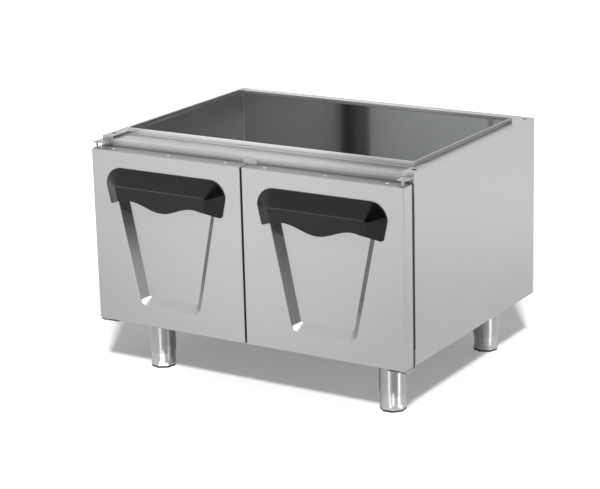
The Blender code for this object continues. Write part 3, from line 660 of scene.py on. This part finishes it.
def rounded_copy(node, width, segments, shape):
    """Copies a node's solid, joins its loose triangles, clears its flat seams, shapes it and rounds its edges."""
    pick(frame["nodes"][node])
    bpy.ops.object.duplicate()
    piece = bpy.context.object
    label(piece, f"{node}_shown")
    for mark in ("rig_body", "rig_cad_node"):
        del piece[mark]
    bpy.ops.object.parent_clear(type="CLEAR")
    bpy.ops.object.mode_set(mode="EDIT")
    bpy.ops.mesh.select_all(action="SELECT")
    bpy.ops.mesh.customdata_custom_splitnormals_clear()
    bpy.ops.mesh.remove_doubles(threshold=JOIN_DISTANCE)
    bpy.ops.mesh.dissolve_limited(angle_limit=FLAT_ANGLE)
    bpy.ops.object.mode_set(mode="OBJECT")
    if shape:
        shape(piece)
    if width:
        round_edges(piece, width, segments)
    smooth(piece)
    return piece


def dress(nodes, width, finishes, segments=2, finish=None, shape=None):
    """Shows rounded copies in place of a group of like nodes."""
    for node in nodes:
        slot = NODE_SLOT[node]
        piece = rounded_copy(node, width, segments, shape)
        finish_piece(piece, BODY_OF[node], finishes[finish or slot], slot, node)


def round_tips(piece, radius):
    """Rounds the two sharp tips at the lower ends of a hood handle.

    The cutter is the outer quarter of a block round the rounding's centre, less a rod as thick as the rounding.
    """
    corners = [corner.co.copy() for corner in piece.data.vertices]
    for side in (-1, 1):
        end = max(side * corner.x for corner in corners)
        tip = min((corner for corner in corners if side * corner.x > end - TIP_REACH), key=lambda corner: corner.z)
        outward = Vector((math.sin(side * TIP_LEAN), 0, -math.cos(TIP_LEAN)))
        centre = tip - outward * radius / math.sin(TIP_ANGLE / 2)
        size = TIP_BLOCK * radius
        start()
        bpy.ops.mesh.primitive_cube_add(
            size=size, location=centre + outward * size / math.sqrt(2), rotation=(0, math.pi / 4 - side * TIP_LEAN, 0))
        block = bpy.context.object
        bpy.ops.transform.resize(value=(1, TIP_STRETCH, 1))
        settle()
        start()
        bpy.ops.mesh.primitive_cylinder_add(
            vertices=TIP_STEPS, radius=radius, depth=TIP_ROD * radius, location=centre, rotation=(math.pi / 2, 0, 0))
        rod = bpy.context.object
        settle()
        cut(block, rod)
        cut(piece, block)


def turned(name, centre, rings, steps):
    """Draws a ring of edges out into a turned piece; each ring is a radius and a height."""
    start()
    x, y = centre
    radius, height = rings[0]
    bpy.ops.mesh.primitive_circle_add(vertices=steps, radius=radius, location=(x, y, height))
    piece = bpy.context.object
    label(piece, name)
    settle()
    bpy.ops.object.mode_set(mode="EDIT")
    bpy.ops.mesh.select_all(action="SELECT")
    for (before, low), (after, high) in zip(rings, rings[1:]):
        bpy.ops.mesh.extrude_edges_move(TRANSFORM_OT_translate={"value": (0, 0, high - low)})
        ratio = after / before
        bpy.ops.transform.resize(value=(ratio, ratio, 1), center_override=(x, y, high))
    bpy.ops.mesh.edge_face_add()
    select_edges(piece, lambda edge: edge.is_boundary)
    bpy.ops.mesh.edge_face_add()
    bpy.ops.mesh.select_all(action="SELECT")
    bpy.ops.mesh.normals_make_consistent(inside=False)
    bpy.ops.object.mode_set(mode="OBJECT")
    smooth(piece)
    return piece


def copy_to(piece, name, offset):
    """Copies a piece, with its own mesh, to another place."""
    pick(piece)
    bpy.ops.object.duplicate()
    made = bpy.context.object
    label(made, name)
    bpy.ops.transform.translate(value=offset)
    settle()
    return made


def screw_head(name, radius, height):
    """A domed screw head with a cross recess, its face to the front."""
    head = turned(name, (0, 0), [(radius * out, height * up) for out, up in SCREW_DOME], HEAD_STEPS)
    for long, wide in ((SLOT_LONG, SLOT_WIDE), (SLOT_WIDE, SLOT_LONG)):
        start()
        bpy.ops.mesh.primitive_cube_add(size=1, location=(0, 0, height))
        cutter = bpy.context.object
        bpy.ops.transform.resize(value=(radius * long, radius * wide, height * SLOT_DEEP))
        settle()
        cut(head, cutter)
    head.rotation_euler = (math.pi / 2, 0, 0)
    pick(head)
    settle()
    smooth(head, FOLD_ANGLE)
    return head


def slip_plate(name, low, high, hole):
    """A plate with round corners and a hole round the lower bush, for the door to slide on."""
    start()
    bpy.ops.mesh.primitive_cube_add(size=1, location=(low + high) / 2)
    plate = bpy.context.object
    label(plate, name)
    bpy.ops.transform.resize(value=high - low)
    settle()
    bpy.ops.object.mode_set(mode="EDIT")
    select_edges(plate, lambda edge: abs(edge.verts[0].co.z - edge.verts[1].co.z) > (high.z - low.z) / 2)
    bpy.ops.mesh.bevel(offset=PLATE_CORNER, segments=6)
    bpy.ops.object.mode_set(mode="OBJECT")
    x, y, radius = hole
    cut(plate, turned("hole", (x, y), [(radius, low.z - CUT_PAST), (radius, high.z + CUT_PAST)], HOLE_STEPS))
    round_edges(plate, PLATE_EDGE, segments=2)
    smooth(plate)
    return plate


def middle(node):
    """The middle of a node's box."""
    low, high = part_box(node)
    return (low + high) / 2


class STAND_OT_sheets(bpy.types.Operator):
    """Round the edges of the folded sheets of the body, and lay the beads in its inner rear corners"""

    bl_idname = "stand.sheets"
    bl_label = "Body sheets"

    def execute(self, context):
        finishes = make_finishes(context.scene.stand_colours)
        width = context.scene.stand_sizes.sheet_round
        dress(["back_panel", "floor_tray"] + [f"leg_plate_{leg}" for leg in LEGS], width, finishes)
        dress(["top_rail_front", "top_rail_rear"], width, finishes, finish="rail_sheet")
        for sheet, finish in (("side_panel", "side_sheet"), ("front_post", "post_sheet"), ("top_rail", "rim_sheet")):
            dress([f"{sheet}_{side}" for side in SIDES], width, finishes, finish=finish)
        low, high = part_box("back_panel")
        radius = context.scene.stand_sizes.bead / 2
        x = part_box("side_panel_left")[0].x + SHEET + radius / 2
        top, bottom = high.z - BEAD_STOP, low.z + BEAD_STOP
        rings = [(radius / 2, top), (radius, top - BEAD_TAPER), (radius, bottom + BEAD_TAPER), (radius / 2, bottom)]
        first = turned("corner_bead_left", (x, low.y - radius / 2), rings, BEAD_STEPS)
        other = copy_to(first, "corner_bead_right", (-2 * x, 0, 0))
        for piece in (first, other):
            finish_piece(piece, "carcass", finishes["fixing_steel"], "steel")
        return {"FINISHED"}


class STAND_OT_doors(bpy.types.Operator):
    """Smooth the pressed door skins, their strikes and their inner pans"""

    bl_idname = "stand.doors"
    bl_label = "Doors"

    def execute(self, context):
        finishes = make_finishes(context.scene.stand_colours)
        width = context.scene.stand_sizes.sheet_round
        for part, finish in (("door_skin", "door_sheet"), ("door_strike", None), ("door_pan", "pan_sheet")):
            dress([f"{part}_{side}" for side in SIDES], width, finishes, finish=finish)
        return {"FINISHED"}


class STAND_OT_handles(bpy.types.Operator):
    """Round the edges and the lower tips of the moulded hood handles"""

    bl_idname = "stand.handles"
    bl_label = "Handles"

    def execute(self, context):
        sizes = context.scene.stand_sizes
        finishes = make_finishes(context.scene.stand_colours)
        dress([f"door_handle_{side}" for side in SIDES], sizes.handle_round, finishes, segments=3,
              shape=lambda piece: round_tips(piece, sizes.tip_round))
        return {"FINISHED"}


class STAND_OT_hinges(bpy.types.Operator):
    """Smooth the hinge brackets, pins, bushes and the catch, and lay the slip plates under the doors"""

    bl_idname = "stand.hinges"
    bl_label = "Hinges and catch"

    def execute(self, context):
        sizes = context.scene.stand_sizes
        finishes = make_finishes(context.scene.stand_colours)
        for level, finish in zip(LEVELS, ("bracket_sheet", "side_sheet")):
            brackets = [f"hinge_bracket_{level}_{side}" for side in SIDES]
            dress(brackets, sizes.sheet_round, finishes, finish=finish)
        nodes = [f"{part}_{level}_{side}" for part in ("hinge_pin", "door_bush") for level in LEVELS for side in SIDES]
        nodes += ["catch_body", "catch_magnet_left", "catch_magnet_right"]
        dress(nodes, sizes.sheet_round, finishes)
        for side in SIDES:
            self.lay_plate(side, sizes.slip_clearance, finishes["steel"])
        return {"FINISHED"}

    def lay_plate(self, side, clear, finish):
        """Lays a slip plate on a lower bracket, from its outer end to a little past the pin."""
        low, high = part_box(f"hinge_bracket_lower_{side}")
        pin = middle(f"hinge_pin_lower_{side}")
        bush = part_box(f"door_bush_lower_{side}")
        radius = (bush[1].x - bush[0].x) / 2 + 2 * clear
        ends = (low.x, pin.x + PLATE_REACH) if side == "left" else (pin.x - PLATE_REACH, high.x)
        bottom, top = low.z + BRACKET + clear / 2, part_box(f"door_skin_{side}")[0].z - clear
        plate = slip_plate(
            f"slip_plate_{side}", Vector((ends[0], low.y, bottom)), Vector((ends[1], high.y - PLATE_REAR, top)),
            (pin.x, pin.y, radius))
        finish_piece(plate, "carcass", finish, "steel")


class STAND_OT_legs(bpy.types.Operator):
    """Turn the four leg tubes with their drawn-in, rolled mouths"""

    bl_idname = "stand.legs"
    bl_label = "Leg tubes"

    def execute(self, context):
        finishes = make_finishes(context.scene.stand_colours)
        low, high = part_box("leg_sleeve_front_left")
        radius = (high.x - low.x) / 2
        rings = [(radius, high.z)]
        rings += [(radius - inward, low.z + up) for inward, up in MOUTH]
        rings += [(rings[-1][0], high.z - TUBE_STEP)]
        here = middle("leg_sleeve_front_left")
        first = turned("leg_tube_front_left", (here.x, here.y), rings, context.scene.stand_sizes.turn_steps)
        for leg in LEGS:
            node = f"leg_sleeve_{leg}"
            tube = first if leg == "front_left" else copy_to(first, f"leg_tube_{leg}", middle(node) - here)
            finish_piece(tube, "carcass", finishes["leg_tube"], "steel", node)
        dress([f"leg_nut_{leg}" for leg in LEGS], width=0, finishes=finishes)
        return {"FINISHED"}


class STAND_OT_feet(bpy.types.Operator):
    """Round the flats of the adjustable feet, their studs and their pads"""

    bl_idname = "stand.feet"
    bl_label = "Adjustable feet"

    def execute(self, context):
        sizes = context.scene.stand_sizes
        finishes = make_finishes(context.scene.stand_colours)
        widths = {"foot": sizes.foot_round, "foot_stud": sizes.sheet_round, "foot_pad": sizes.foot_round}
        for part, width in widths.items():
            dress([f"{part}_{leg}" for leg in LEGS], width, finishes)
        return {"FINISHED"}


class STAND_OT_fixings(bpy.types.Operator):
    """Set the rivet heads along the door tops and the screws of the upper hinge brackets"""

    bl_idname = "stand.fixings"
    bl_label = "Rivets and screws"

    def execute(self, context):
        sizes = context.scene.stand_sizes
        finish = make_finishes(context.scene.stand_colours)["fixing_steel"]
        self.set_rivets(sizes, finish)
        self.set_screws(sizes, finish)
        return {"FINISHED"}

    def set_rivets(self, sizes, finish):
        """Turns the middle rivet of the left door and copies it along both doors."""
        here = middle("door_skin_left")
        seat = DOOR_TOP - SEAT_DEPTH
        radius, height = sizes.rivet_diameter / 2, sizes.rivet_height
        rings = [(radius * out, seat + height * up) for out, up in RIVET_DOME]
        first = turned("rivet_left_1", (here.x, here.y), rings, HEAD_STEPS)
        made = [(first, "left_door")]
        for side in SIDES:
            for number, place in enumerate((-1, 0, 1)):
                if (side, place) == ("left", 0):
                    continue
                across = middle(f"door_skin_{side}").x + place * sizes.rivet_spacing
                made.append((copy_to(first, f"rivet_{side}_{number}", (across - here.x, 0, 0)), f"{side}_door"))
        for rivet, body in made:
            finish_piece(rivet, body, finish, "pin_steel")

    def set_screws(self, sizes, finish):
        """Makes one screw head and sets it and its copy on the upper brackets."""
        head = screw_head("bracket_screw_left", sizes.screw_diameter / 2, sizes.screw_height)
        other = copy_to(head, "bracket_screw_right", (0, 0, 0))
        for screw, side in zip((head, other), SIDES):
            low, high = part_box(f"hinge_bracket_upper_{side}")
            face = high.y - BRACKET + SEAT_DEPTH
            pick(screw)
            bpy.ops.transform.translate(value=((low.x + high.x) / 2, face, high.z - SCREW_DROP))
            settle()
            finish_piece(screw, "carcass", finish, "pin_steel")


class STAND_OT_studio(bpy.types.Operator):
    """Lay the pale floor, hang the lights and set the camera"""

    bl_idname = "stand.studio"
    bl_label = "Studio"

    def execute(self, context):
        scene = context.scene
        studio = scene.stand_studio
        scene.view_settings.view_transform = "Standard"
        start()
        bpy.ops.mesh.primitive_plane_add(size=FLOOR_SIZE, location=(0, 0, -FLOOR_DROP))
        floor = context.object
        floor.name = "studio_floor"
        settle()
        floor.data.materials.append(floor_finish(scene.stand_colours.floor))
        light_room(scene, studio)
        hang_lights(studio)
        for flag in FLAGS:
            stand_flag(*flag)
        add_camera(scene, studio)
        return {"FINISHED"}


def seen_white(finish):
    """1 for what the camera sees, directly or in metal, and 0 for the light on the object."""
    rays = [finish.node("ShaderNodeLightPath", out=name)
            for name in ("Is Camera Ray", "Is Glossy Ray", "Is Transmission Ray")]
    return rays[0].largest(rays[1]).largest(rays[2])


def floor_finish(colour):
    """White floor that keeps the shadow, because part of what is seen of it doesn't depend on the lights.

    In reflections it is brighter along the path that the doors mirror, and dimmer to the left of it and at the back.
    """
    finish = Finish("studio_floor")
    away = finish.node("ShaderNodeVectorMath", {"operation": "LENGTH"}, {0: finish.place()}, "Value")
    further = finish.fade(away, NEAR_FLOOR, FAR_FLOOR)
    seen = finish.node("ShaderNodeLightPath", out="Is Camera Ray")
    mirrored = finish.node("ShaderNodeLightPath", out="Is Glossy Ray")
    deep = finish.along("Y")
    front = 1 - finish.fade(deep, *FRONT_FLOOR)
    behind = finish.fade(deep, *BACK_FLOOR)
    aside = finish.along("X") * PATH_ACROSS[0] + deep * PATH_ACROSS[1] - PATH_PLACE
    left = front * (1 - finish.fade(aside, *LEFT_OF_PATH))
    path = front * (1 - finish.fade(abs(aside), 0.0, PATH_WIDTH))
    shade = finish.shade(mirrored * left * LEFT_DIM, colour, BLACK)
    lit = finish.node("ShaderNodeBsdfDiffuse", {}, {"Color": shade})
    shine = seen * FLOOR_GLOW + seen_white(finish) * further * FAR_GLOW
    shine = shine + mirrored * (path * PATH_GLOW - behind * BACK_DIM)
    glow = finish.node("ShaderNodeEmission", {}, {"Color": shine, "Strength": 1.0})
    both = finish.node("ShaderNodeAddShader", {}, {0: lit, 1: glow})
    finish.node("ShaderNodeOutputMaterial", {}, {"Surface": both})
    return finish.material


def light_room(scene, studio):
    """Plain light all round, with white wherever the camera or shiny metal looks past the object."""
    world = bpy.data.worlds.new("studio_room")
    world.use_nodes = True
    scene.world = world
    finish = Finish("studio_room", world.node_tree)
    white = seen_white(finish)
    strength = white + (1 - white) * studio.room
    room = finish.node("ShaderNodeBackground", {}, {"Color": WHITE, "Strength": strength})
    finish.node("ShaderNodeOutputWorld", {}, {"Surface": room})


def hang_lights(studio):
    """Hangs the lights and keeps each off the pieces that it isn't meant for."""
    key = hang_key(studio)
    link_light(key, "EXCLUDE", "door_handle")
    for name, turn, share in STRIPS:
        towards = Vector((math.sin(turn), -math.cos(turn), 0))
        place = towards * STRIP_DISTANCE + STRIP_SHIFT
        strip = hang_panel(name, place, towards, STRIP_SIZE, studio.strip * share)
        link_light(strip, "INCLUDE", "leg_tube", "foot_")
    bank = hang_panel("left_bank", BANK_TOWARDS + BANK_LIFT, BANK_TOWARDS, BANK_SIZE, studio.bank)
    link_light(bank, "INCLUDE", "door_handle")
    snoot = aim_snoot(studio.snoot)
    link_light(snoot, "INCLUDE", "door_pan")


def link_light(lamp, state, *starts):
    """Keeps a lamp's light on or off the pieces whose names start so, as barn doors on it would."""
    group = bpy.data.collections.new(f"{lamp.name}_pieces")
    for piece in bpy.data.objects:
        if piece.type == "MESH" and piece.name.startswith(starts):
            group.objects.link(piece)
    for entry in group.collection_objects:
        entry.light_linking.link_state = state
    lamp.light_linking.receiver_collection = group


def hang_key(studio):
    """The hard light at the front right that casts the shadow."""
    across = math.cos(studio.key_rise)
    towards = Vector((across * math.sin(studio.key_turn), -across * math.cos(studio.key_turn),
                      math.sin(studio.key_rise)))
    turn = towards.to_track_quat("Z", "Y").to_euler()
    bpy.ops.object.light_add(type="SUN", location=towards * KEY_DISTANCE, rotation=turn)
    key = bpy.context.object
    key.name = "key_light"
    key.data.energy = studio.key
    key.data.angle = studio.key_spread
    return key


def hang_panel(name, place, towards, size, power):
    """A flat light: the strips draw a bright line down each leg, and the bank one along the ridges of the handles."""
    bpy.ops.object.light_add(type="AREA", location=place)
    lamp = bpy.context.object
    lamp.name = name
    lamp.rotation_euler = towards.to_track_quat("Z", "Y").to_euler()
    lamp.data.shape = "RECTANGLE"
    lamp.data.size, lamp.data.size_y = size
    lamp.data.energy = power
    return lamp


def aim_snoot(power):
    """A narrow light from above the back that reaches through the open top and lights the inside of the doors."""
    bpy.ops.object.light_add(type="SPOT", location=SNOOT_PLACE)
    lamp = bpy.context.object
    lamp.name = "snoot"
    lamp.rotation_euler = (SNOOT_PLACE - SNOOT_TARGET).to_track_quat("Z", "Y").to_euler()
    lamp.data.energy = power
    lamp.data.spot_size = SNOOT_WIDTH
    lamp.data.spot_blend = SNOOT_BLEND
    lamp.data.shadow_soft_size = SNOOT_BULB
    return lamp


def stand_flag(name, place, facing, size):
    """A dark board that only shiny surfaces see, as a photographer stands one beside bright steel."""
    start()
    bpy.ops.mesh.primitive_plane_add(size=1, location=(0, 0, 0))
    board = bpy.context.object
    board.name = name
    bpy.ops.transform.resize(value=(*size, 1))
    board.rotation_euler = Vector(facing).to_track_quat("Z", "Y").to_euler()
    board.location = place
    settle()
    finish = Finish(name)
    matt = finish.node("ShaderNodeBsdfDiffuse", {}, {"Color": FLAG_SHADE})
    finish.node("ShaderNodeOutputMaterial", {}, {"Surface": matt})
    board.data.materials.append(finish.material)
    board.visible_camera = False
    board.visible_shadow = False
    board.visible_diffuse = False


def add_camera(scene, studio):
    """The camera that was fitted to the picture's straight edges."""
    turn, tilt, roll = studio.camera_turn, studio.camera_tilt, studio.camera_roll
    right = Vector((math.cos(turn), math.sin(turn), 0))
    back = Vector((math.sin(turn) * math.cos(tilt), -math.cos(turn) * math.cos(tilt), math.sin(tilt)))
    up = back.cross(right)
    across = right * math.cos(roll) + up * math.sin(roll)
    upward = up * math.cos(roll) - right * math.sin(roll)
    bpy.ops.object.camera_add(location=studio.camera_place)
    camera = bpy.context.object
    camera.name = "camera"
    aim = Matrix((across, upward, back)).transposed().to_4x4()
    camera.matrix_world = Matrix.Translation(studio.camera_place) @ aim
    camera.data.sensor_width = SENSOR_WIDTH
    camera.data.lens = studio.lens
    scene.camera = camera


class STAND_PT_panel(bpy.types.Panel):
    """Sizes, colours and steps of the stand."""

    bl_idname = "STAND_PT_panel"
    bl_label = "Equipment stand"
    bl_space_type = "VIEW_3D"
    bl_region_type = "UI"
    bl_category = "Stand"

    def draw(self, context):
        for group in (context.scene.stand_sizes, context.scene.stand_colours, context.scene.stand_studio):
            box = self.layout.box()
            for name in group.__annotations__:
                box.prop(group, name)
        for step in STEPS:
            self.layout.operator(step.bl_idname)


STEPS = (STAND_OT_sheets, STAND_OT_doors, STAND_OT_handles, STAND_OT_hinges, STAND_OT_legs, STAND_OT_feet,
         STAND_OT_fixings, STAND_OT_studio)
GROUPS = {"stand_sizes": StandSizes, "stand_colours": StandColours, "stand_studio": StandStudio}
CLASSES = (*GROUPS.values(), *STEPS, STAND_PT_panel)


def register():
    for entry in CLASSES:
        bpy.utils.register_class(entry)
    for name, group in GROUPS.items():
        setattr(bpy.types.Scene, name, PointerProperty(type=group))


def unregister():
    for name in GROUPS:
        delattr(bpy.types.Scene, name)
    for entry in reversed(CLASSES):
        bpy.utils.unregister_class(entry)


def main():
    register()
    bpy.ops.stand.sheets()
    bpy.ops.stand.doors()
    bpy.ops.stand.handles()
    bpy.ops.stand.hinges()
    bpy.ops.stand.legs()
    bpy.ops.stand.feet()
    bpy.ops.stand.fixings()
    bpy.ops.stand.studio()


if __name__ == "__main__":
    main()
